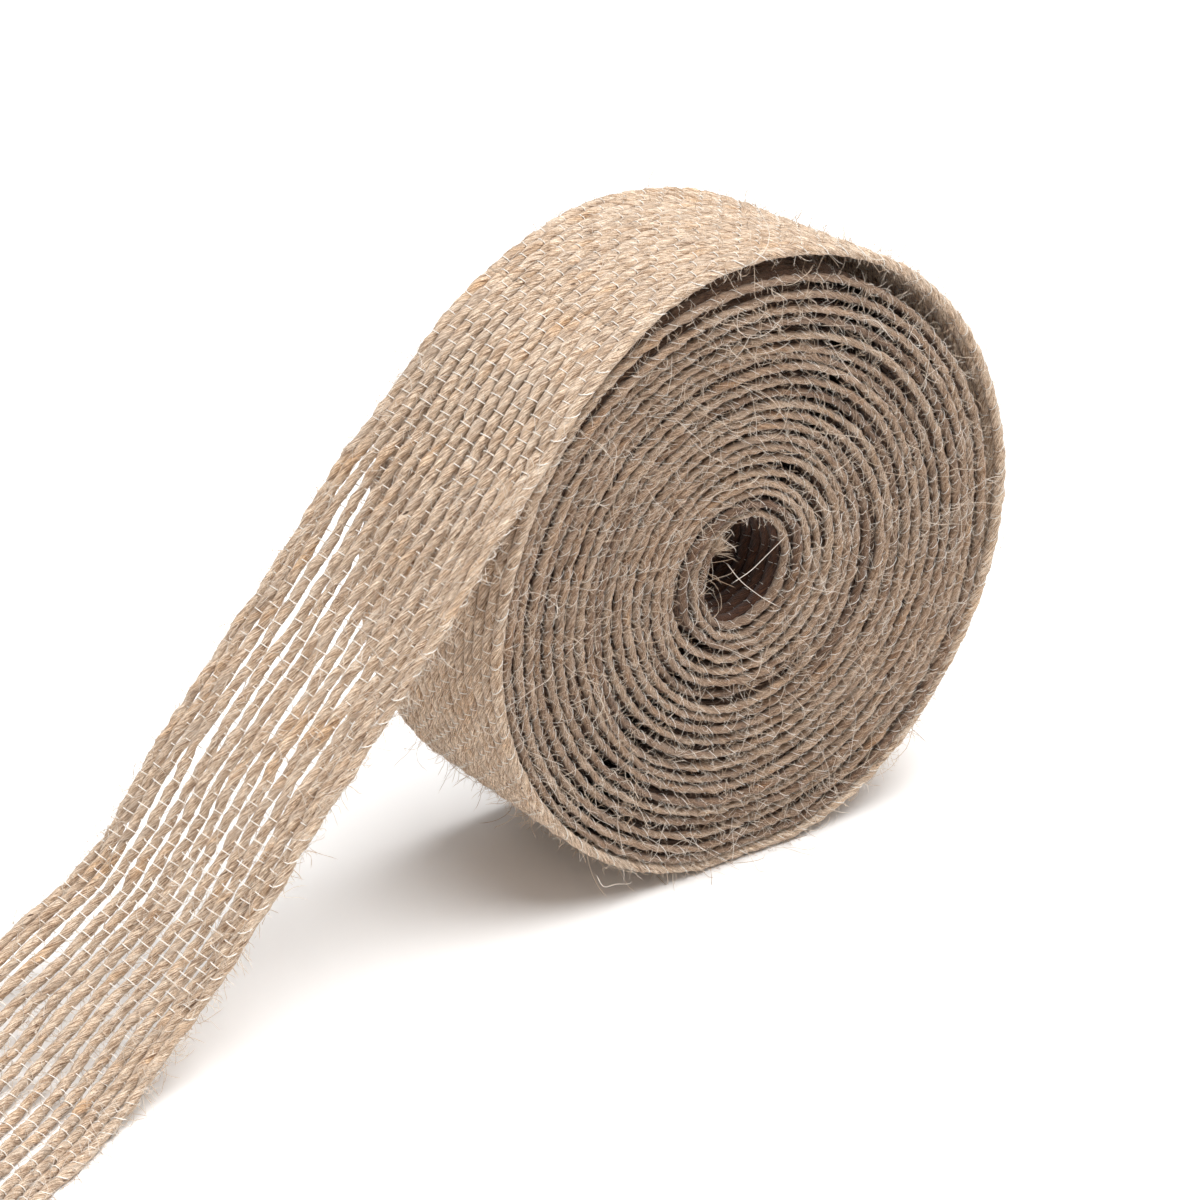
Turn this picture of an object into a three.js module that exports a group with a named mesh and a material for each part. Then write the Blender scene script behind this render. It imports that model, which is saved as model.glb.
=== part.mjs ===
// A roll of open-weave jute ribbon, standing on its rim, with its free end led down to the table.
//
// Millimetres, +Z up. The roll's axis runs along Y, and the free end leads away towards -X and
// turns a little towards -Y on the table. The origin is on the table, straight below the roll's
// axis, under the middle of the eighth yarn.
//
// The ribbon has two kinds of piece: jute yarns that run its whole length side by side, and one
// thin weft thread that crosses them back and forth. Each is drawn in two solids, one on the roll
// and one in the tail, and the two meet at the peel line, where the ribbon leaves the roll.
// The roll has no core: its innermost turn stands free around an empty eye.

import * as THREE from 'three';

// Ribbon
const ribbonWidth = 50;
const yarnCount = 16;
const middleYarn = 7;           // index of the yarn over the origin
const yarnThickness = 2.2;      // through the ribbon
const clearance = 0.3;          // between neighbours that touch on the real object
const weftThickness = 0.5;
const weftSpacing = 2.65;       // along the ribbon, from one pick to the next

// Roll
const rollRadius = 66;          // to the outside of the last tight turn
const turnRoom = 0.35;          // what the weft adds to each turn, beside the yarn itself
const eyeRadius = 10;
const eyeShift = 4.5;           // the eye sits off the axis, up and towards -X
const footDepth = 0.75;         // how far the roll's own weight flattens its rim
const looseStart = -45;         // degrees round from +X, where the last turn begins to lift
const looseFull = 70;           // where it stands highest off the roll
const looseFall = 90;           // where it starts to come back down
const looseEnd = 150;
const looseLift = 5;
const looseReturn = 0.8;        // share of the lift that is lost again by looseEnd
const slitRoot = -30;           // where the gap under the loose turn closes
const peelAngle = 134;          // where the ribbon leaves the roll

// Tail
const bendRadius = 75;          // the tail's curve where it comes down on the table
const tableYaw = 28;            // degrees that the tail turns towards -Y as it lands
const restLength = 50;          // lying flat on the table, up to the cut end
const tailSpread = 0.12;        // how much wider the yarns stand apart at the cut end
const weftSetback = 3;          // bare yarn on each side of the peel line

const jute = { color: 0xcdb193, roughness: 0.95, metalness: 0 };
const thread = { color: 0xf1ece4, roughness: 0.4, metalness: 0 };

const turnThickness = yarnThickness + turnRoom;   // radius gained by one turn of ribbon
const yarnWidth = (ribbonWidth - (yarnCount - 1) * clearance) / yarnCount;
const yarnPitch = yarnWidth + clearance;
const lane = (index) => (index - middleYarn) * yarnPitch;
const radians = THREE.MathUtils.degToRad;
const ease = (value, from, to) => THREE.MathUtils.smoothstep(value, from, to);

// Radius of the outside of the last turn, tight all round, at an angle in degrees.
const tightRadius = (angle) => rollRadius + (turnThickness * (angle - looseStart)) / 360;

function lift(angle) {
  const rise = ease(angle, looseStart, looseFull);
  const fall = looseReturn * ease(angle, looseFall, looseEnd);
  return looseLift * rise * (1 - fall);
}

const footRadius = tightRadius(270 - 360);
const axisHeight = footRadius - footDepth;

function onRoll(angle, radius) {
  const turn = radians(angle);
  return new THREE.Vector2(radius * Math.cos(turn), axisHeight + radius * Math.sin(turn));
}

const looseMiddle = (angle) => onRoll(angle, tightRadius(angle) + lift(angle) - yarnThickness / 2);

// One yarn of the roll: its outline seen along the axis is the spiral's last turn and a slit under
// the loose stretch, with the eye as a hole and a flat foot on the table.
function woundOutline() {
  const outline = new THREE.Shape();
  const points = [];
  const arc = (from, to, steps, radiusAt) => {
    for (let step = 0; step <= steps; step++) {
      const angle = from + ((to - from) * step) / steps;
      points.push(onRoll(angle, radiusAt(angle)));
    }
  };
  const footHalfAngle = THREE.MathUtils.radToDeg(Math.acos(axisHeight / footRadius));
  const footCorner = (side) => {
    const radius = tightRadius(side * footHalfAngle - 90);
    points.push(new THREE.Vector2(side * Math.sqrt(radius ** 2 - axisHeight ** 2), 0));
  };
  const turnBefore = (angle) => tightRadius(angle - 360);
  const nearFoot = footHalfAngle + 4;

  arc(peelAngle, 270 - nearFoot, 12, turnBefore);
  footCorner(-1);
  footCorner(1);
  arc(nearFoot - 90, slitRoot, 5, (angle) => tightRadius(angle) + lift(angle));
  arc(slitRoot + 8, peelAngle, 17, (angle) => tightRadius(angle) + lift(angle));
  arc(peelAngle, slitRoot, 15, (angle) => tightRadius(angle) + lift(angle) - yarnThickness);
  arc(slitRoot + 2, peelAngle - 9, 14, turnBefore);
  outline.setFromPoints(points);

  const eyeX = -eyeShift * Math.SQRT1_2;
  const eyeZ = axisHeight + eyeShift * Math.SQRT1_2;
  outline.holes.push(new THREE.Path().absarc(eyeX, eyeZ, eyeRadius, 0, 2 * Math.PI, true));
  return outline;
}

const eyeSegments = 10;         // a path's circle is drawn with twice as many sides
const woundGeometry = new THREE.ExtrudeGeometry(woundOutline(), {
  depth: yarnWidth,
  bevelEnabled: false,
  curveSegments: eyeSegments,
}).rotateX(Math.PI / 2).translate(0, yarnWidth / 2, 0);

// The tail's middle line, from the peel hinge down the straight stretch, through the landing bend
// and along the table. Each sample holds its place and the ribbon's along, across and up.
const peelTangent = looseMiddle(peelAngle).sub(looseMiddle(peelAngle - 0.5)).normalize();
const hinge = looseMiddle(peelAngle).addScaledVector(peelTangent, clearance + yarnThickness / 2);
const fallAngle = Math.asin(-peelTangent.y);
const bendDrop = bendRadius * (1 - Math.cos(fallAngle));
const straightLength = (hinge.y - yarnThickness / 2 - bendDrop) / Math.sin(fallAngle);
const bendLength = bendRadius * fallAngle;
const tailLength = straightLength + bendLength + restLength;

function ribbonAxes(distance) {
  const landed = THREE.MathUtils.clamp((distance - straightLength) / bendLength, 0, 1);
  const pitch = fallAngle * (1 - landed);
  const yaw = radians(tableYaw) * ease(landed, 0, 1);
  const across = new THREE.Vector3(-Math.sin(yaw), Math.cos(yaw), 0);
  const along = new THREE.Vector3(-Math.cos(yaw), -Math.sin(yaw), 0).multiplyScalar(Math.cos(pitch));
  along.z = -Math.sin(pitch);
  return { along, across, up: across.clone().cross(along) };
}

const tailStep = 0.5;
const tailLine = [new THREE.Vector3(hinge.x, 0, hinge.y)];
for (let distance = 0; distance < tailLength; distance += tailStep) {
  const { along } = ribbonAxes(distance + tailStep / 2);
  tailLine.push(tailLine[tailLine.length - 1].clone().addScaledVector(along, tailStep));
}

// A point of the tail: so far along, so far across as on the roll, and so far above its middle.
function onTail(distance, offset, height) {
  const index = Math.min(Math.max(distance, 0) / tailStep, tailLine.length - 1.001);
  const whole = Math.floor(index);
  const { along, across, up } = ribbonAxes(distance);
  const spread = 1 + (tailSpread * distance) / tailLength;
  return tailLine[whole].clone().lerp(tailLine[whole + 1], index - whole)
    .addScaledVector(along, Math.min(distance, 0))
    .addScaledVector(across, offset * spread)
    .addScaledVector(up, height);
}

// A point above the outside of the loose turn, so far across and so far above the yarns' middle.
function onLooseTurn(angle, offset, height) {
  const place = onRoll(angle, tightRadius(angle) + lift(angle) - yarnThickness / 2 + height);
  return new THREE.Vector3(place.x, offset, place.y);
}

// Joins rings of points, each with the same count, into one closed body with flat ends.
function bodyOfRings(rings) {
  const sides = rings[0].length;
  const positions = rings.flat().flatMap((point) => [point.x, point.y, point.z]);
  const faces = [];
  for (let ring = 0; ring + 1 < rings.length; ring++) {
    for (let side = 0; side < sides; side++) {
      const a = ring * sides + side;
      const b = ring * sides + ((side + 1) % sides);
      faces.push(a, a + sides, b, b, a + sides, b + sides);
    }
  }
  const last = (rings.length - 1) * sides;
  for (let side = 1; side + 1 < sides; side++) {
    faces.push(0, side, side + 1);
    faces.push(last, last + side + 1, last + side);
  }
  const geometry = new THREE.BufferGeometry();
  geometry.setAttribute('position', new THREE.Float32BufferAttribute(positions, 3));
  geometry.setIndex(faces);
  geometry.computeVertexNormals();
  return geometry;
}

// One yarn of the tail, six-sided, with a rounded nose that turns about the peel hinge.
function tailYarn(index) {
  const section = [[0.5, 0], [0.3, 0.5], [-0.3, 0.5], [-0.5, 0], [-0.3, -0.5], [0.3, -0.5]];
  const ring = (distance, scale) => section.map(([x, z]) => (
    onTail(distance, lane(index) + x * yarnWidth, z * yarnThickness * scale)));
  const noseTurn = Math.PI / 3;
  const bendSteps = 16;
  const rings = [ring((-yarnThickness / 2) * Math.sin(noseTurn), Math.cos(noseTurn))];
  rings.push(ring(0, 1), ring(straightLength / 2, 1));
  for (let step = 0; step <= bendSteps; step++) {
    rings.push(ring(straightLength + (bendLength * step) / bendSteps, 1));
  }
  rings.push(ring(tailLength, 1));
  return bodyOfRings(rings);
}

// The weft: a thread that runs back and forth over the yarns. Its two corners at the end of each
// pick are mitred, so it stays one body with a square section.
function weftThread(place, firstPick, lastPick) {
  const half = weftThickness / 2;
  const near = lane(0) - yarnWidth / 2 + weftThickness;
  const far = lane(yarnCount - 1) + yarnWidth / 2 - weftThickness;
  const low = yarnThickness / 2 + clearance;
  const rings = [];
  const corner = (distance, offset, inwards, onwards) => {
    const outer = [distance - onwards * half, offset - inwards * half];
    const inner = [distance + onwards * half, offset + inwards * half];
    const [left, right] = inwards > 0 ? [inner, outer] : [outer, inner];
    rings.push([
      place(...right, low), place(...left, low),
      place(...left, low + weftThickness), place(...right, low + weftThickness),
    ]);
  };
  for (let pick = firstPick; pick <= lastPick; pick++) {
    const outward = pick % 2 === 0;
    const [start, end] = outward ? [near, far] : [far, near];
    corner(pick * weftSpacing, start, outward ? 1 : -1, -1);
    corner(pick * weftSpacing, end, outward ? -1 : 1, 1);
  }
  return bodyOfRings(rings);
}

const degreesPerPick = THREE.MathUtils.radToDeg(weftSpacing / rollRadius);
const setbackDegrees = THREE.MathUtils.radToDeg(weftSetback / rollRadius);
const wrapPlace = (distance, offset, height) => (
  onLooseTurn((distance / weftSpacing) * degreesPerPick, offset, height));
const firstWrapPick = Math.ceil((looseStart - 10) / degreesPerPick);
const lastWrapPick = Math.floor((peelAngle - setbackDegrees) / degreesPerPick);
const firstTailPick = Math.ceil(weftSetback / weftSpacing);
const lastTailPick = Math.floor(tailLength / weftSpacing) - 1;

function piece(name, geometry, finish) {
  const mesh = new THREE.Mesh(geometry, new THREE.MeshStandardMaterial(finish));
  mesh.name = name;
  return mesh;
}

const roll = new THREE.Group();
const tail = new THREE.Group();
for (let index = 0; index < yarnCount; index++) {
  const number = String(index + 1).padStart(2, '0');
  const wound = piece(`warp_yarn_${number}_wound`, woundGeometry, jute);
  wound.position.y = lane(index);
  roll.add(wound);
  tail.add(piece(`warp_yarn_${number}_tail`, tailYarn(index), jute));
}
roll.add(piece('weft_thread_wound', weftThread(wrapPlace, firstWrapPick, lastWrapPick), thread));
tail.add(piece('weft_thread_tail', weftThread(onTail, firstTailPick, lastTailPick), thread));

const ribbonRoll = new THREE.Group();
ribbonRoll.add(roll, tail);

export default ribbonRoll;
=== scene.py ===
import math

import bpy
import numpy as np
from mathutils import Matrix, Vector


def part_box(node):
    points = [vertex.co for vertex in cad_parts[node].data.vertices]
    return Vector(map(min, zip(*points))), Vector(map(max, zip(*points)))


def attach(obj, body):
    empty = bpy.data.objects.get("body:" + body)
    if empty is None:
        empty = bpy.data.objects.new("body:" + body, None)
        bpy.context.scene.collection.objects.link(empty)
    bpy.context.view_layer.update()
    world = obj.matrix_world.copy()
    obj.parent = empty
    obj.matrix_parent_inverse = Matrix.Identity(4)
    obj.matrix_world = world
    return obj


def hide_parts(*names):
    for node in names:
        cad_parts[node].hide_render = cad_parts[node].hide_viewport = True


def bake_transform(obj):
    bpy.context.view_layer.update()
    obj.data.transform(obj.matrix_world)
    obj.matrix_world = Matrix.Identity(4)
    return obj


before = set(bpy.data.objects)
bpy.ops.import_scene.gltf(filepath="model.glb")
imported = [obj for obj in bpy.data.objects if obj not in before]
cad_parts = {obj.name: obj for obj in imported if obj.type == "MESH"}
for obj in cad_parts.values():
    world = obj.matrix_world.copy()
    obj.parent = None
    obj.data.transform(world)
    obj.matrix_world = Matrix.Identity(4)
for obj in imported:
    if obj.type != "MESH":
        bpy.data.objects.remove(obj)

# A coreless roll of open-weave jute ribbon, standing on its rim, its loose end led to the table.
#
# Everything is worked out in millimetres along one ribbon: a place on it is a distance along its
# middle line (0 at the peel line, less on the roll, more in the tail), an offset across it and a
# height off its middle. Meshes are turned to metres as they are made.

MM = 0.001
rng = np.random.default_rng(11)
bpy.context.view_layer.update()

# ------------------------------------------------------------------ sizes, in mm and degrees

YARNS = 16
YARN_THICKNESS = 2.2
TURN_THICKNESS = 2.55          # radius gained by one turn of ribbon
PICK = 2.65                    # along the ribbon, from one weft pick to the next
THREAD_RADIUS = 0.12
INNER_THREAD_RADIUS = 0.085
FLOOR_GAP = 0.03               # nothing is drawn lower than this over the table

ROLL_RADIUS = 66
AXIS_HEIGHT = 64.93
TURNS = 21.5                   # below the loose one
EYE_SHIFT = 4.5
EYE_SIDE = 135                 # the eye's shift points this way round from +X
LOOSE_START, LOOSE_FULL, LOOSE_FALL, LOOSE_END = -45, 70, 90, 150
LOOSE_LIFT, LOOSE_RETURN = 5, 0.8
LOOSE_TILT = 2.0               # the loose turn's far edge lies this much lower than its near edge
SLACK, SLACK_TURNS = 2.6, 1.3  # the turns under it stand off too, less and less further in
PEEL = 134                     # where the ribbon leaves the roll

BEND_RADIUS = 75               # the tail's curve where it comes down on the table
TABLE_YAW = 28                 # how far it turns towards -Y as it lands
REST_LENGTH = 50               # lying flat, up to the cut end
TAIL_SPACING = (2.3, 2.5, 2.8, 3.7, 3.5, 3.8, 3.9, 3.9, 3.3, 3.9, 3.8, 4.5, 4.0, 3.1, 2.6)
FAR_YARN_OUT = 0.6             # the tail's last yarn runs this far outside its place on the roll

CUT_BACK = -20                 # the tail's pieces begin this far back on the roll
BEND_ZONE = (-7, 13)           # a stretch of the ribbon about the peel line, from 7 mm on the roll to 13 mm into the tail

lanes = np.array([
    sum((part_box(f"warp_yarn_{i + 1:02d}_wound")[k].y for k in (0, 1))) / 2 / MM for i in range(YARNS)
])
middle_lane = lanes.mean()
tail_lanes = np.concatenate([[0], np.cumsum(TAIL_SPACING)])
tail_lanes += lanes[-1] + FAR_YARN_OUT - tail_lanes[-1]


# ------------------------------------------------------------------ the ribbon's middle line

def ease(value, start, end):
    t = np.clip((value - start) / (end - start), 0, 1)
    return t * t * (3 - 2 * t)


def tight_radius(angle):
    return ROLL_RADIUS + TURN_THICKNESS * (angle - LOOSE_START) / 360


def lift(angle):
    rise = ease(angle, LOOSE_START, LOOSE_FULL)
    return LOOSE_LIFT * rise * (1 - LOOSE_RETURN * ease(angle, LOOSE_FALL, LOOSE_END))


wobble_waves = [(m, rng.uniform(0, 6.3), rng.uniform(0.9, 2.3), a)
                for m, a in ((1, 0.20), (2, 0.24), (3, 0.17), (4, 0.13), (6, 0.08), (9, 0.05))]


def middle_of_roll(angle):
    """x and z of the ribbon's middle at an angle counted on through all the turns."""
    turn = np.radians(angle)
    depth = np.clip((LOOSE_START - angle) / 360, 0, None)
    radius = tight_radius(angle) + lift(angle) - YARN_THICKNESS / 2
    shift = EYE_SHIFT * (depth / TURNS) ** 1.5
    radius = radius + shift * np.cos(turn - math.radians(EYE_SIDE))
    around = np.mod(angle - LOOSE_START, 360) + LOOSE_START
    slack = ease(around, 0, 80) * (1 - ease(around, 110, 175)) * np.exp(-depth / SLACK_TURNS)
    radius = radius + SLACK * slack * ease(depth, 0.02, 0.12)
    settled = ease(depth, 0.1, 1.2)
    for m, phase, drift, size in wobble_waves:
        radius = radius + settled * size * np.sin(m * turn + phase + drift * depth)
    x, z = radius * np.cos(turn), AXIS_HEIGHT + radius * np.sin(turn)
    lowest = YARN_THICKNESS / 2 + 0.05 + 2.45 * depth
    near = (z - lowest) / 0.2
    return x, lowest + 0.2 * np.logaddexp(0, near)


first_angle = LOOSE_START - 360 * TURNS
angle_table = np.linspace(first_angle, PEEL, 24000)
x_table, z_table = middle_of_roll(angle_table)
steps = np.hypot(np.diff(x_table), np.diff(z_table))
wound_table = np.concatenate([[0], np.cumsum(steps)])
WOUND_LENGTH = wound_table[-1]
wound_table = wound_table - WOUND_LENGTH

peel_point = np.array([x_table[-1], z_table[-1]])
peel_step = peel_point - np.array(middle_of_roll(np.array(PEEL - 0.5)))
fall = math.asin(-peel_step[1] / np.linalg.norm(peel_step))
bend_drop = BEND_RADIUS * (1 - math.cos(fall))
straight = (peel_point[1] - YARN_THICKNESS / 2 - bend_drop) / math.sin(fall)
bend_length = BEND_RADIUS * fall
TAIL_LENGTH = straight + bend_length + REST_LENGTH


def tail_axes(distance):
    """The ribbon's along, across and up in the tail, each as rows of x, y, z."""
    landed = np.clip((distance - straight) / bend_length, 0, 1)
    pitch = fall * (1 - landed)
    yaw = np.radians(TABLE_YAW) * ease(landed, 0, 1)
    along = np.stack([-np.cos(yaw) * np.cos(pitch), -np.sin(yaw) * np.cos(pitch), -np.sin(pitch)], -1)
    across = np.stack([-np.sin(yaw), np.cos(yaw), 0 * yaw], -1)
    return along, across, np.cross(across, along)


tail_table = np.arange(0, TAIL_LENGTH + 12, 0.25)
tail_points = np.concatenate([
    [[peel_point[0], 0, peel_point[1]]],
    [peel_point[0], 0, peel_point[1]] + np.cumsum(tail_axes(tail_table[:-1] + 0.125)[0] * 0.25, 0),
])


def ribbon(distance):
    """Middle point, along, across and up at each distance along the ribbon."""
    distance = np.asarray(distance, float)
    angle = np.interp(distance, wound_table, angle_table)
    x, z = middle_of_roll(angle)
    back_x, back_z = middle_of_roll(angle - 0.2)
    on_x, on_z = middle_of_roll(angle + 0.2)
    along = np.stack([on_x - back_x, 0 * x, on_z - back_z], -1)
    along /= np.linalg.norm(along, axis=-1, keepdims=True)
    across = np.zeros_like(along)
    across[:, 1] = 1
    up = np.cross(across, along)
    centre = np.stack([x, 0 * x, z], -1)
    free = distance > 0
    if free.any():
        far = distance[free]
        centre[free] = np.stack([np.interp(far, tail_table, tail_points[:, k]) for k in range(3)], -1)
        along[free], across[free], up[free] = tail_axes(far)
    return centre, along, across, up


def waves(count, lengths, seed):
    """Smooth random curves, one a row, for wave lengths in mm: a function of distance."""
    local = np.random.default_rng(seed)
    phases = local.uniform(0, 2 * math.pi, (count, len(lengths)))
    stretch = local.uniform(0.8, 1.25, (count, len(lengths)))

    def value(row, distance):
        return sum(np.sin(2 * math.pi * distance / (length * stretch[row, k]) + phases[row, k])
                   for k, length in enumerate(lengths)) / math.sqrt(len(lengths))
    return value


side_wave = waves(YARNS, (23, 41, 90), 1)
height_wave = waves(YARNS, (17, 37, 80), 2)
girth_wave = waves(YARNS, (7, 13, 29, 61), 3)
edge_wave = waves(1, (90, 210, 400), 4)
tail_wave = waves(1, (60, 130), 5)


def lane_at(index, distance):
    """How far across the ribbon a yarn runs, from the roll's middle plane y = 0."""
    free = ease(distance, -30, 45)
    lane = lanes[index] * (1 - free) + tail_lanes[index] * free
    sway = side_wave(index, distance) * (0.09 + 0.12 * ease(distance, 0, 60))
    shift = edge_wave(0, distance) * 0.45 * (1 - free)
    return lane + sway + shift


def crimp(index, distance):
    """The yarn's rise and fall as it passes under one pick and over the next."""
    return -0.10 * np.cos(math.pi * (distance / PICK + index))


def pinch(index, distance):
    """1 where the weft passes over the yarn, and 0 away from it."""
    phase = (distance / PICK + index) / 2
    gap = (phase - np.round(phase)) * 2 * PICK
    return np.exp(-(gap / 0.55) ** 2)


def place(distance, offset, height):
    """Points so far along the ribbon, across it and above its middle, with its axes there."""
    centre, along, across, up = ribbon(distance)
    angle = np.interp(distance, wound_table, angle_table)
    tilt = LOOSE_TILT * ease(angle, 0, 60) * (1 - ease(angle, 105, 150)) * (1 - ease(distance, 0, 30))
    height = height - tilt * (offset - lanes[0]) / (lanes[-1] - lanes[0])
    return centre + across * offset[:, None] + up * height[:, None], along, across, up


def yarn_middle(index, distance):
    loose = ease(distance, 0, 30) * (1 - ease(distance, straight + 20, straight + bend_length))
    height = crimp(index, distance) + height_wave(index, distance) * (0.05 + 0.25 * loose)
    height = height + loose * 0.8 * tail_wave(0, distance)
    return place(distance, lane_at(index, distance), height)


# ------------------------------------------------------------------ meshes

class MeshMaker:
    """Gathers vertices, faces and per-vertex values, and makes one Blender mesh of them."""

    def __init__(self):
        self.points, self.faces, self.fibres, self.tints, self.count = [], [], [], [], 0

    def add(self, points, faces, fibre, tint):
        self.points.append(points)
        self.faces.append(faces + self.count)
        self.fibres.append(fibre)
        self.tints.append(tint)
        self.count += len(points)

    def build(self, name, material):
        points = np.concatenate(self.points) * MM
        points[:, 2] = np.maximum(points[:, 2], FLOOR_GAP * MM)
        quads = np.concatenate(self.faces)
        mesh = bpy.data.meshes.new(name)
        mesh.vertices.add(len(points))
        mesh.vertices.foreach_set("co", points.astype(np.float32).ravel())
        mesh.loops.add(quads.size)
        mesh.loops.foreach_set("vertex_index", quads.astype(np.int32).ravel())
        mesh.polygons.add(len(quads))
        mesh.polygons.foreach_set("loop_start", np.arange(0, quads.size, 4, dtype=np.int32))
        mesh.polygons.foreach_set("use_smooth", np.ones(len(quads), bool))
        fibre = mesh.attributes.new("fibre", "FLOAT_VECTOR", "POINT")
        fibre.data.foreach_set("vector", np.concatenate(self.fibres).astype(np.float32).ravel())
        # Per-vertex colour key: each yarn's or fibre's own random tone, and for the jute also the
        # painted shade of the roll's side, the buried yarns and the eye.
        tint = mesh.attributes.new("tint", "FLOAT", "POINT")
        tint.data.foreach_set("value", np.concatenate(self.tints).astype(np.float32).ravel())
        mesh.update(calc_edges=True)
        mesh.validate()
        mesh.materials.append(material)
        piece = bpy.data.objects.new(name, mesh)
        bpy.context.scene.collection.objects.link(piece)
        return piece


def row(values):
    return np.asarray(values)[:, None]


def tube_faces(rings, sides):
    """Quads between the rings of a tube. Its end rings are closed to a point by the caller."""
    ring, side = np.meshgrid(np.arange(rings - 1), np.arange(sides), indexing="ij")
    a = (ring * sides + side).ravel()
    b = (ring * sides + (side + 1) % sides).ravel()
    return np.stack([a, b, b + sides, a + sides], -1)


TWIST = 0.42                   # radians a millimetre
HALF_WIDTH, NARROWER_IN_TAIL, NARROWER_AT_EDGE = 1.45, 0.43, 0.15
HALF_HEIGHT, FLATTER_ON_ROLL, FLATTER_AT_EDGE = 1.08, 0.22, 0.12
PINCHED = 0.07                 # share of a yarn's thickness that the weft presses in
yarn_tints = rng.uniform(0.4, 1, YARNS)
# Keys into the yarn colour ramp that are painted shade, not the jute's own colour: the roll's side is
# painted darker and greyer than its rim, the buried yarns seen in the gaps between turns darker still,
# and the yarns inside the eye darkest of all.
SIDE_PAINTED_SHADE, BURIED_PAINTED_SHADE, EYE_PAINTED_SHADE = 0.2, 0.1, 0.0


def add_yarn(maker, index, start, end, step, sides):
    """A stretch of one yarn: a twisted, slubby strand that the weft pinches at every other pick."""
    distance = np.linspace(start, end, max(3, int(round((end - start) / step)) + 1))
    distance = np.concatenate([distance[:1], distance, distance[-1:]])
    centre, along, across, up = yarn_middle(index, distance)
    tail = ease(distance, -25, 35)
    wound = 1 - ease(distance, LAST_TURN - 30, LAST_TURN + 30)
    edge = index in (0, YARNS - 1)
    lumpy = edge * wound       # the roll's side shows rougher yarns than its rim
    girth = 1 + (0.07 + 0.08 * tail + 0.06 * lumpy) * girth_wave(index, distance)
    press = pinch(index, distance)
    half_width = HALF_WIDTH - NARROWER_IN_TAIL * tail - NARROWER_AT_EDGE * edge * wound
    half_width = half_width * girth * (1 - PINCHED * press)
    half_height = HALF_HEIGHT - (FLATTER_ON_ROLL + FLATTER_AT_EDGE * edge) * wound
    half_height = half_height * (1 + 0.5 * (girth - 1)) * (1 - PINCHED * press)
    around = np.linspace(0, 2 * math.pi, sides, endpoint=False)
    turn = around[None] + TWIST * distance[:, None] + index
    wander = girth_wave(index, distance * 0.7)[:, None]
    ridges = (0.06 * np.cos(2 * turn + 1.5 * wander) + 0.05 * np.cos(3 * turn - 2 * wander)
              + 0.035 * np.cos(5 * turn + 3 * wander))
    roughness = np.random.default_rng(1000 + index + int(end - start)).normal(0, 0.022, turn.shape)
    radius = 1 + (ridges + roughness) * row(1 + 0.9 * lumpy)
    radius[[0, -1]] = 1e-3
    points = (centre[:, None]
              + across[:, None] * (half_width[:, None] * radius * np.cos(around))[..., None]
              + up[:, None] * (half_height[:, None] * radius * np.sin(around))[..., None])
    fibre = np.stack([distance[:, None] + 0 * turn + 97 * index,
                      1.3 * np.cos(turn), 1.3 * np.sin(turn)], -1)
    # Painted shade: on the wound part the yarns on the roll's side, the buried yarns and the yarns in
    # the eye take the darker keys, in place of the shade that falls there; the last turn and the tail
    # keep each yarn's own random tone.
    painted_shade_key = SIDE_PAINTED_SHADE + 0.06 * girth_wave(index, distance * 0.06) if edge else np.where(
        distance < EYE_LENGTH - WOUND_LENGTH, EYE_PAINTED_SHADE, BURIED_PAINTED_SHADE)
    tint = painted_shade_key * wound + yarn_tints[index] * (1 - wound)
    maker.add(points.reshape(-1, 3), tube_faces(len(distance), sides), fibre.reshape(-1, 3),
              np.repeat(tint, sides))


def add_strands(maker, lines, radius, sides, tint):
    """Thin tubes along lines of points, one line a row, tapered to closed ends."""
    tangent = np.gradient(lines, axis=1)
    tangent /= np.linalg.norm(tangent, axis=2, keepdims=True) + 1e-9
    side = np.cross(tangent, np.array([0.31, 0.87, 0.39]))
    side /= np.linalg.norm(side, axis=2, keepdims=True) + 1e-9
    other = np.cross(tangent, side)
    count, rings = lines.shape[:2]
    around = np.linspace(0, 2 * math.pi, sides, endpoint=False)
    ring = side[:, :, None] * np.cos(around)[:, None] + other[:, :, None] * np.sin(around)[:, None]
    size = np.repeat(np.reshape(radius, (-1, 1)) * np.ones((count, 1)), rings, axis=1)
    size[:, [0, -1]] = 1e-3
    points = lines[:, :, None] + ring * size[:, :, None, None]
    lengths = np.linalg.norm(np.diff(lines, axis=1), axis=2)
    distance = np.concatenate([np.zeros((count, 1)), np.cumsum(lengths, axis=1)], axis=1)
    shade = np.reshape(tint, (-1, 1, 1)) * np.ones((count, rings, sides))
    fibre = np.stack([distance[:, :, None] + 53 * shade, np.cos(around) + 0 * shade,
                      np.sin(around) + 0 * shade], -1)
    faces = tube_faces(rings, sides)
    faces = (faces[None] + rings * sides * np.arange(count)[:, None, None]).reshape(-1, 4)
    maker.add(points.reshape(-1, 3), faces, fibre.reshape(-1, 3), shade.ravel())


def loop_reach(distance):
    """How far past the edge yarn's middle the weft's loop stands."""
    return 1.18 + 0.26 * ease(distance, LAST_TURN - 30, LAST_TURN + 30) - 0.36 * ease(distance, -25, 35)


THREAD_HEIGHT = 0.99           # of the weft over a yarn's middle
THREAD_WRAP = 1.35             # flattens the wave where the weft lies on a yarn


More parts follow.
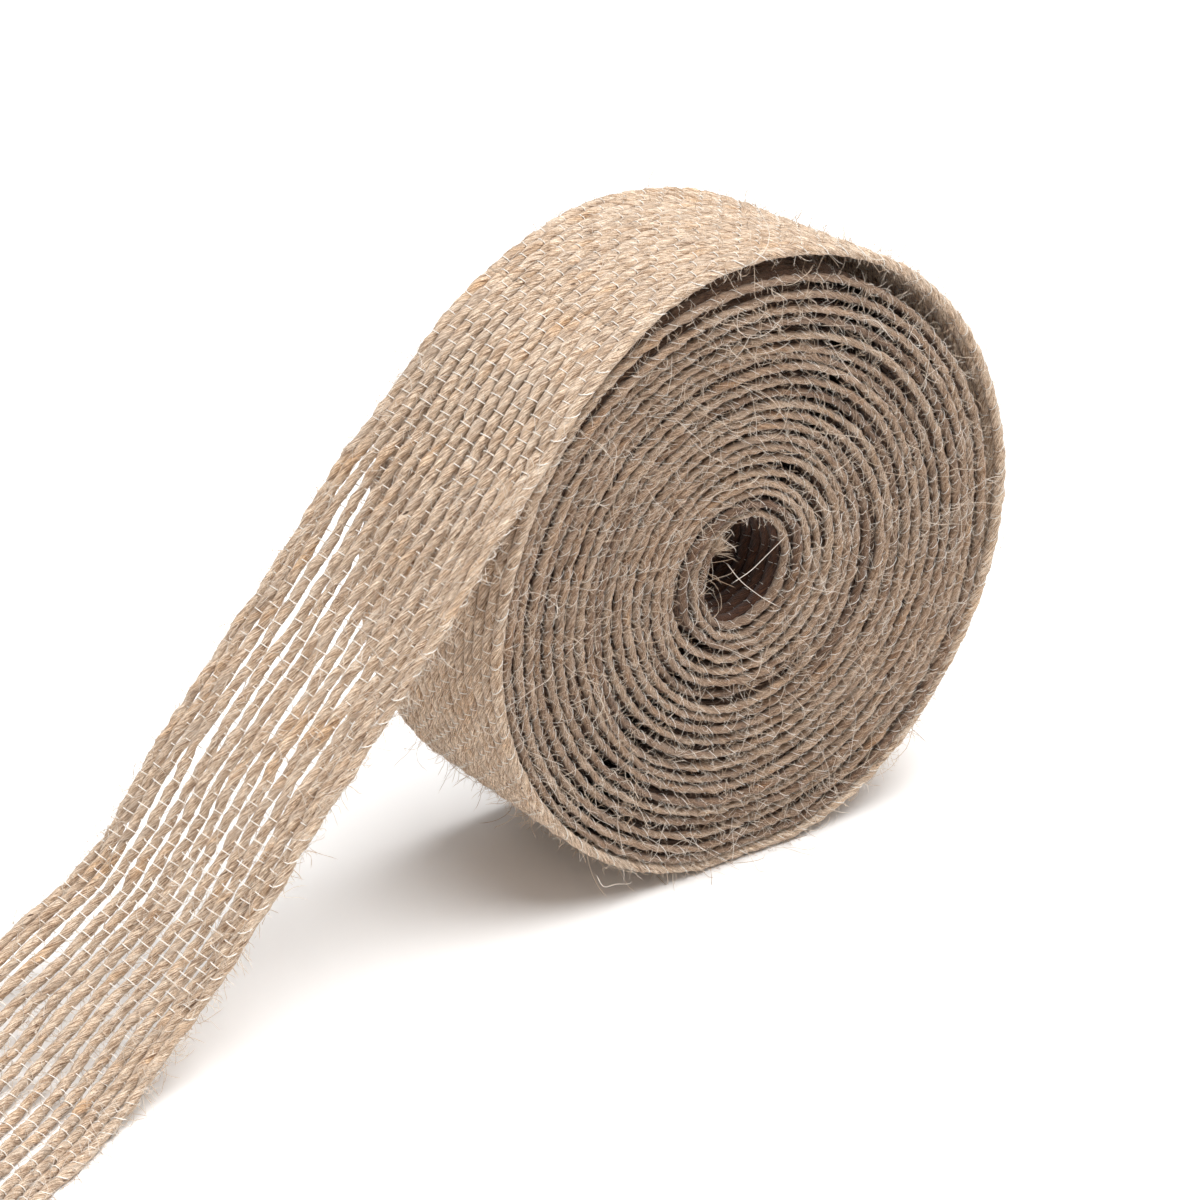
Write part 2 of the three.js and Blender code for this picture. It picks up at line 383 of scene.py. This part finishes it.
def weft_line(first, last, per_yarn, per_loop):
    """The weft's middle line from one pick to another: over one yarn, under the next, then round
    the edge yarn and back."""
    lines = []
    for pick in range(first, last + 1):
        outward = pick % 2 == 0
        order = np.arange(YARNS) if outward else np.arange(YARNS)[::-1]
        spot = np.linspace(0, YARNS - 1, (YARNS - 1) * per_yarn + 1)
        index = spot if outward else YARNS - 1 - spot
        distance = np.full(len(spot), pick * PICK) + 0.12 * np.sin(spot * 1.7 + pick * 2.3)
        ends = np.array([lane_at(i, np.array([pick * PICK]))[0] for i in order])
        offset = np.interp(spot, np.arange(YARNS), ends)
        wave = np.cos(math.pi * (index + pick))
        height = THREAD_HEIGHT * np.sin(THREAD_WRAP * wave) / math.sin(THREAD_WRAP)
        edge = order[-1]
        around = np.linspace(0, math.pi, per_loop + 2)[1:-1]
        sense = 1 if outward else -1
        top = np.cos(math.pi * (edge + pick))
        loop_distance = pick * PICK + PICK * (1 - np.cos(around)) / 2
        loop_offset = ends[-1] + sense * loop_reach(pick * PICK) * np.sin(around)
        loop_height = THREAD_HEIGHT * top * np.cos(around)
        lines.append(np.stack([distance, offset, height], -1))
        lines.append(np.stack([loop_distance, loop_offset, loop_height], -1))
    return np.concatenate(lines[:-1])


def to_space(places):
    return place(*places.T)[0]


# ------------------------------------------------------------------ materials

def new_material(name):
    material = bpy.data.materials.new(name)
    material.use_nodes = True
    nodes, links = material.node_tree.nodes, material.node_tree.links
    return material, nodes, links, nodes["Principled BSDF"]


def noise(nodes, links, vector, scale, detail, roughness=0.6):
    node = nodes.new("ShaderNodeTexNoise")
    node.inputs["Scale"].default_value = scale
    node.inputs["Detail"].default_value = detail
    node.inputs["Roughness"].default_value = roughness
    links.new(vector, node.inputs["Vector"])
    return node.outputs["Fac"]


def stretched(nodes, links, vector, scale):
    node = nodes.new("ShaderNodeMapping")
    node.inputs["Scale"].default_value = scale
    links.new(vector, node.inputs["Vector"])
    return node.outputs["Vector"]


def ramp(nodes, links, value, stops):
    node = nodes.new("ShaderNodeValToRGB")
    while len(node.color_ramp.elements) < len(stops):
        node.color_ramp.elements.new(0.5)
    for element, (position, colour) in zip(node.color_ramp.elements, stops):
        element.position = position
        element.color = (*colour, 1)
    links.new(value, node.inputs["Fac"])
    return node.outputs["Color"]


def mix(nodes, links, kind, factor, first, second):
    node = nodes.new("ShaderNodeMix")
    node.data_type = "RGBA"
    node.blend_type = kind
    sockets = {s.identifier: s for s in node.inputs}
    for key, value in (("Factor_Float", factor), ("A_Color", first), ("B_Color", second)):
        if isinstance(value, bpy.types.NodeSocket):
            links.new(value, sockets[key])
        else:
            sockets[key].default_value = value
    return {s.identifier: s for s in node.outputs}["Result_Color"]


def attribute(nodes, name, output):
    node = nodes.new("ShaderNodeAttribute")
    node.attribute_name = name
    return node.outputs[output]


def jute_material(name, pale, light, middle, dark, golden):
    """Jute yarn: strands and fine fibres along the twist, golden patches, grey ones, dark flecks, and
    painted shade on the roll's side, the buried yarns and the eye.
    """
    material, nodes, links, shader = new_material(name)
    fibre = attribute(nodes, "fibre", "Vector")
    tint = attribute(nodes, "tint", "Fac")
    strands = noise(nodes, links, stretched(nodes, links, fibre, (0.10, 1.0, 1.0)), 3.1, 3, 0.68)
    fine = noise(nodes, links, stretched(nodes, links, fibre, (0.10, 1.0, 1.0)), 8.0, 2, 0.6)
    patches = noise(nodes, links, stretched(nodes, links, fibre, (0.04, 0.22, 0.22)), 1.0, 2)
    greys = noise(nodes, links, stretched(nodes, links, fibre, (0.03, 0.3, 0.3)), 1.3, 2)
    flecks = noise(nodes, links, stretched(nodes, links, fibre, (0.45, 1.1, 1.1)), 1.0, 1)
    colour = ramp(nodes, links, strands, ((0.33, dark), (0.45, middle), (0.55, light), (0.67, pale)))
    fine_shade = ramp(nodes, links, fine, ((0.36, (0.44, 0.36, 0.30)), (0.60, (1.18, 1.18, 1.18))))
    colour = mix(nodes, links, "MULTIPLY", 0.9, colour, fine_shade)
    gold = ramp(nodes, links, patches, ((0.55, (0, 0, 0)), (0.72, (0.7, 0.7, 0.7))))
    colour = mix(nodes, links, "MIX", gold, colour,
                 mix(nodes, links, "MULTIPLY", 1.0, colour, (*golden, 1)))
    grey = ramp(nodes, links, greys, ((0.50, (0, 0, 0)), (0.70, (0.32, 0.32, 0.32))))
    colour = mix(nodes, links, "MIX", grey, colour, (0.52, 0.44, 0.37, 1))
    # Painted shade at the ramp's low end: the darkest stops stand in for the shade inside the eye, in
    # the gaps over the buried yarns and on the roll's side; from 0.38 up the ramp is the yarns' own
    # random tone.
    shade_and_tone = ramp(nodes, links, tint, ((EYE_PAINTED_SHADE, (0.15, 0.08, 0.05)),
                                           (BURIED_PAINTED_SHADE, (0.30, 0.23, 0.19)),
                                           (SIDE_PAINTED_SHADE, (0.72, 0.66, 0.62)),
                                           (0.38, (0.92, 0.91, 0.90)), (1.0, (1.0, 1.0, 1.0))))
    colour = mix(nodes, links, "MULTIPLY", 1.0, colour, shade_and_tone)
    fleck = ramp(nodes, links, flecks, ((0.74, (0, 0, 0)), (0.79, (1, 1, 1))))
    colour = mix(nodes, links, "MIX", fleck, colour, (0.10, 0.055, 0.03, 1))
    links.new(colour, shader.inputs["Base Color"])
    shader.inputs["Roughness"].default_value = 0.75
    shader.inputs["Specular IOR Level"].default_value = 0.3
    shader.inputs["Sheen Weight"].default_value = 0.2
    shader.inputs["Sheen Roughness"].default_value = 0.5
    height = mix(nodes, links, "MIX", 0.4, strands, fine)
    bump = nodes.new("ShaderNodeBump")
    bump.inputs["Strength"].default_value = 1.0
    bump.inputs["Distance"].default_value = 0.0005
    links.new(height, bump.inputs["Height"])
    links.new(bump.outputs["Normal"], shader.inputs["Normal"])
    return material


def thread_material():
    """A fine off-white thread with a slight gloss and a faint twist."""
    material, nodes, links, shader = new_material("weft_thread")
    fibre = attribute(nodes, "fibre", "Vector")
    twist = noise(nodes, links, stretched(nodes, links, fibre, (2.2, 0.8, 0.8)), 1.4, 2)
    colour = ramp(nodes, links, twist, ((0.3, (0.74, 0.67, 0.58)), (0.65, (0.94, 0.91, 0.86))))
    links.new(colour, shader.inputs["Base Color"])
    shader.inputs["Roughness"].default_value = 0.32
    shader.inputs["Coat Weight"].default_value = 0.3
    shader.inputs["Coat Roughness"].default_value = 0.15
    return material


def hair_material():
    """Loose jute fibres: pale straw to golden brown along and between them."""
    material, nodes, links, shader = new_material("loose_fibre")
    tint = attribute(nodes, "tint", "Fac")
    fibre = attribute(nodes, "fibre", "Vector")
    change = noise(nodes, links, stretched(nodes, links, fibre, (0.3, 0.1, 0.1)), 1.0, 2)
    colour = ramp(nodes, links, tint, ((0.0, (0.48, 0.32, 0.20)), (0.45, (0.74, 0.60, 0.46)),
                                       (1.0, (0.94, 0.87, 0.78))))
    shade = ramp(nodes, links, change, ((0.3, (0.75, 0.72, 0.7)), (0.7, (1.0, 1.0, 1.0))))
    links.new(mix(nodes, links, "MULTIPLY", 1.0, colour, shade), shader.inputs["Base Color"])
    shader.inputs["Roughness"].default_value = 0.6
    shader.inputs["Sheen Weight"].default_value = 0.2
    return material


jute = jute_material("jute_yarn", pale=(1.0, 0.88, 0.73), light=(0.82, 0.65, 0.49),
                     middle=(0.56, 0.395, 0.265), dark=(0.20, 0.115, 0.065), golden=(1.0, 0.82, 0.60))
thread = thread_material()
hair = hair_material()

# ------------------------------------------------------------------ yarns

FINE, SIDE, EYE, NEXT, COARSE = 0.6, 0.7, 0.9, 1.3, 3.4   # steps along a yarn
FINE_SIDES, SIDES, HIDDEN_SIDES = 12, 8, 6
LAST_TURN = -float(np.interp(PEEL - 360, angle_table, -wound_table))
EYE_LENGTH = 80                # the stretch that is seen inside the eye

outer = MeshMaker()
tail = MeshMaker()
inner = MeshMaker()
edges = MeshMaker()
for index in range(YARNS):
    add_yarn(outer, index, LAST_TURN, CUT_BACK, FINE, FINE_SIDES)
    add_yarn(tail, index, CUT_BACK, TAIL_LENGTH + rng.uniform(-1.2, 1.2), FINE, FINE_SIDES)
    if index in (0, YARNS - 1):
        add_yarn(edges, index, -WOUND_LENGTH, LAST_TURN, SIDE, SIDES)
        continue
    add_yarn(edges, index, -WOUND_LENGTH, -WOUND_LENGTH + EYE_LENGTH, EYE, SIDES)
    step = NEXT if index in (1, YARNS - 2) else COARSE
    add_yarn(inner, index, -WOUND_LENGTH + EYE_LENGTH, LAST_TURN, step, HIDDEN_SIDES)

outer_turn = outer.build("yarns_last_turn", jute)
tail_yarns = tail.build("yarns_tail", jute)
inner_turns = inner.build("yarns_inner_turns", jute)
edge_yarns = edges.build("yarns_edges_and_eye", jute)

# ------------------------------------------------------------------ weft

first_fine = int(LAST_TURN / PICK)
cut_pick = int(CUT_BACK / PICK)
last_pick = int(TAIL_LENGTH / PICK) - 1
first_pick = int(-WOUND_LENGTH / PICK) + 2

weft_outer, weft_tail, weft_inner = MeshMaker(), MeshMaker(), MeshMaker()
add_strands(weft_outer, to_space(weft_line(first_fine, cut_pick, 3, 5))[None], THREAD_RADIUS, 5, 0.5)
add_strands(weft_tail, to_space(weft_line(cut_pick + 1, last_pick, 3, 5))[None], THREAD_RADIUS, 5, 0.5)
add_strands(weft_inner, to_space(weft_line(first_pick, first_fine - 1, 1, 5))[None],
            INNER_THREAD_RADIUS, 3, 0.5)
weft_on_last_turn = weft_outer.build("weft_last_turn", thread)
weft_on_tail = weft_tail.build("weft_tail", thread)
weft_inside = weft_inner.build("weft_inner_turns", thread)

# ------------------------------------------------------------------ loose fibres

REACH = 7.5                    # how far a loose fibre may stand out past the ribbon's edges


def curl(roots, headings, lengths, bend, rings, local):
    """Fibres that set out along their headings and wander as they go, one a row."""
    direction = headings / np.linalg.norm(headings, axis=1, keepdims=True)
    sweep = local.normal(0, bend, direction.shape)
    lines = [roots]
    for _ in range(rings - 1):
        sweep = 0.8 * sweep + local.normal(0, bend * 0.5, direction.shape)
        direction = direction + sweep
        direction /= np.linalg.norm(direction, axis=1, keepdims=True)
        lines.append(lines[-1] + direction * lengths[:, None] / (rings - 1))
    lines = np.stack(lines, axis=1)
    lines[..., 2] = np.maximum(lines[..., 2], 0.1)
    near, far = roots[:, 1].min() - REACH, roots[:, 1].max() + REACH
    lines[..., 1] = np.clip(lines[..., 1], near, far)
    return lines


def add_fuzz(maker, count, span, lengths, reach, seed, edge=0, radii=(0.04, 0.07), bend=0.42, rings=6):
    """Stray fibres between two distances: from the ribbon's outer face, or from one of its edges."""
    local = np.random.default_rng(seed)
    distance = local.uniform(*span, count)
    if edge == 0:
        index = local.integers(0, YARNS, count)
    else:
        index = np.full(count, 0 if edge < 0 else YARNS - 1)
    point, along, across, up = yarn_middle(index, distance)
    out = row(local.uniform(*reach, count))
    if edge == 0:
        angle = local.normal(0, 0.8, count)
        side = np.where((distance < 0) | (local.random(count) < 0.7), 1, -1)
        root = point + across * row(1.25 * np.sin(angle)) + up * row(side * 1.0 * np.cos(angle))
        heading = (along * row(local.choice((-1, 1), count)) + across * row(local.normal(0, 0.6, count))
                   + up * row(side) * out)
    else:
        angle = local.uniform(-1.1, 1.1, count)
        root = point + across * edge * row(1.2 * np.cos(angle)) + up * row(0.85 * np.sin(angle))
        heading = (along * row(local.normal(0, 1, count)) + up * row(local.normal(0, 0.8, count))
                   + across * edge * out)
    length = local.uniform(*lengths, count) * local.uniform(0.4, 1, count)
    lines = curl(root, heading, length, bend, rings, local)
    add_strands(maker, lines, local.uniform(*radii, count), 3, local.uniform(0, 1, count))


def add_fray(maker, distance, way, count, lengths, seed, spread=0.35, lean=0.0, yarns=YARNS):
    """The loose fibres at a cut end, where each yarn opens into a brush."""
    local = np.random.default_rng(seed)
    index = local.integers(0, yarns, count)
    point, along, across, up = yarn_middle(index, np.full(count, float(distance)))
    root = point + across * row(local.normal(0, 0.6, count)) + up * row(local.normal(0, 0.45, count))
    heading = (along * way + across * row(local.normal(lean, spread, count))
               + up * row(local.normal(0, spread, count)))
    length = local.uniform(*lengths, count)
    lines = curl(root, heading, length, 0.12, 5, local)
    add_strands(maker, lines, local.uniform(0.04, 0.08, count), 3, local.uniform(0, 0.5, count))


def add_long_hair(maker, root, heading, length, bend, seed):
    local = np.random.default_rng(seed)
    root, heading, length = (np.array([value], float) for value in (root, heading, length))
    line = curl(root, heading, length, bend, 14, local)
    add_strands(maker, line, 0.075, 4, 0.9)


fuzz_outer, fuzz_tail, fuzz_front, fuzz_back = (MeshMaker() for _ in range(4))
add_fuzz(fuzz_outer, 5200, (LAST_TURN, CUT_BACK), (2, 7), (0.03, 0.4), 21, radii=(0.03, 0.06))
add_fuzz(fuzz_outer, 320, (LAST_TURN, CUT_BACK), (5, 15), (0.3, 1.2), 22, rings=8)
add_fuzz(fuzz_tail, 5600, (0, TAIL_LENGTH), (2, 8), (0.1, 0.9), 23, radii=(0.04, 0.075), bend=0.5)
add_fuzz(fuzz_tail, 160, (0, TAIL_LENGTH), (5, 16), (0.2, 0.9), 24, rings=8)
add_fuzz(fuzz_tail, 650, (0, TAIL_LENGTH), (1.5, 8), (0.2, 1.2), 25, -1, bend=0.5)
add_fuzz(fuzz_tail, 650, (0, TAIL_LENGTH), (1.5, 8), (0.2, 1.2), 26, 1, bend=0.5)
add_fray(fuzz_tail, TAIL_LENGTH - 1, 1, 900, (2, 7), 27)
for maker, side, seed in ((fuzz_front, -1, 30), (fuzz_back, 1, 40)):
    add_fuzz(maker, 12500, (-WOUND_LENGTH, CUT_BACK), (1.5, 6.5), (0.08, 0.9), seed, side, (0.03, 0.057))
    add_fuzz(maker, 700, (-WOUND_LENGTH, CUT_BACK), (7, 22), (0.2, 0.8), seed + 1, side,
             bend=0.3, rings=10)
add_fray(fuzz_front, -WOUND_LENGTH + 1, -1, 260, (2, 6), 50)
add_fray(fuzz_front, -WOUND_LENGTH + 1, -1, 110, (2.5, 6.5), 51, spread=0.5, lean=-0.5, yarns=2)
face = lanes[0] - 1.5
add_long_hair(fuzz_front, (-8, face, 72), (0.75, -0.12, -1), 17, 0.05, 52)
add_long_hair(fuzz_front, (8, face, 74), (-1, -0.1, -0.55), 19, 0.05, 53)
add_long_hair(fuzz_front, (38, face, 122), (1, -0.05, -0.1), 26, 0.06, 54)
add_long_hair(fuzz_front, (-62, face + 8, 45), (-0.4, -0.2, -1), 14, 0.35, 55)
add_long_hair(fuzz_front, (-30, face + 2, 4), (-0.9, -0.5, -0.1), 16, 0.12, 56)
loose_on_last_turn = fuzz_outer.build("loose_fibres_last_turn", hair)
loose_on_tail = fuzz_tail.build("loose_fibres_tail", hair)
loose_on_front = fuzz_front.build("loose_fibres_front", hair)
loose_on_back = fuzz_back.build("loose_fibres_back", hair)

# ------------------------------------------------------------------ bodies

wound_nodes = [f"warp_yarn_{i + 1:02d}_wound" for i in range(YARNS)]
tail_nodes = [f"warp_yarn_{i + 1:02d}_tail" for i in range(YARNS)]
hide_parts(*wound_nodes)
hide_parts(*tail_nodes)
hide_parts("weft_thread_wound")
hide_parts("weft_thread_tail")

for piece in (outer_turn, inner_turns, edge_yarns, weft_on_last_turn, weft_inside,
              loose_on_last_turn, loose_on_front, loose_on_back):
    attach(piece, "roll")

zone_start, zone_end = ribbon(np.array(BEND_ZONE, float))[0]
for piece in (tail_yarns, weft_on_tail, loose_on_tail):
    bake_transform(piece)

# ------------------------------------------------------------------ floor, light and camera


def floor():
    size = 4.0                 # metres to each side
    mesh = bpy.data.meshes.new("floor")
    mesh.from_pydata([(-size, -size, 0), (size, -size, 0), (size, size, 0), (-size, size, 0)], [],
                     [(0, 1, 2, 3)])
    plane = bpy.data.objects.new("floor", mesh)
    bpy.context.scene.collection.objects.link(plane)
    material, *_, shader = new_material("floor")
    shader.inputs["Base Color"].default_value = (0.93, 0.92, 0.91, 1)
    shader.inputs["Roughness"].default_value = 0.7
    mesh.materials.append(material)


def sun_light(name, towards, power, spread):
    light = bpy.data.lights.new(name, "SUN")
    light.energy = power
    light.angle = math.radians(spread)
    lamp = bpy.data.objects.new(name, light)
    lamp.rotation_euler = Vector(towards).to_track_quat("Z", "Y").to_euler()
    bpy.context.scene.collection.objects.link(lamp)


CAMERA_AZIMUTH, CAMERA_ELEVATION = -36.62, 26.36
CAMERA_DISTANCE = 12           # in radii of the roll, as are the two shifts of its aim
AIM_RIGHT, AIM_UP = -0.258, -0.2
LENS = 3.154                   # in widths of the sensor


def camera():
    azimuth, elevation = math.radians(CAMERA_AZIMUTH), math.radians(CAMERA_ELEVATION)
    radius = ROLL_RADIUS * MM
    distance = CAMERA_DISTANCE * radius
    back = Vector((math.sin(azimuth) * math.cos(elevation), -math.cos(azimuth) * math.cos(elevation),
                   math.sin(elevation)))
    right = Vector((math.cos(azimuth), math.sin(azimuth), 0))
    up = back.cross(right)
    aim = Vector((0, middle_lane * MM, radius)) + (AIM_RIGHT * right + AIM_UP * up) * radius
    data = bpy.data.cameras.new("camera")
    data.lens = data.sensor_width * LENS
    data.clip_start = 0.05
    eye = bpy.data.objects.new("camera", data)
    eye.location = aim + back * distance
    eye.rotation_euler = back.to_track_quat("Z", "Y").to_euler()
    bpy.context.scene.collection.objects.link(eye)
    bpy.context.scene.camera = eye


def studio():
    world = bpy.data.worlds.new("studio")
    world.use_nodes = True
    world.node_tree.nodes["Background"].inputs["Color"].default_value = (1, 1, 1, 1)
    world.node_tree.nodes["Background"].inputs["Strength"].default_value = 0.42
    bpy.context.scene.world = world
    bpy.context.scene.view_settings.view_transform = "Standard"
    sun_light("overhead", (0.12, -0.16, 1), 4.6, 55)


floor()
studio()
camera()
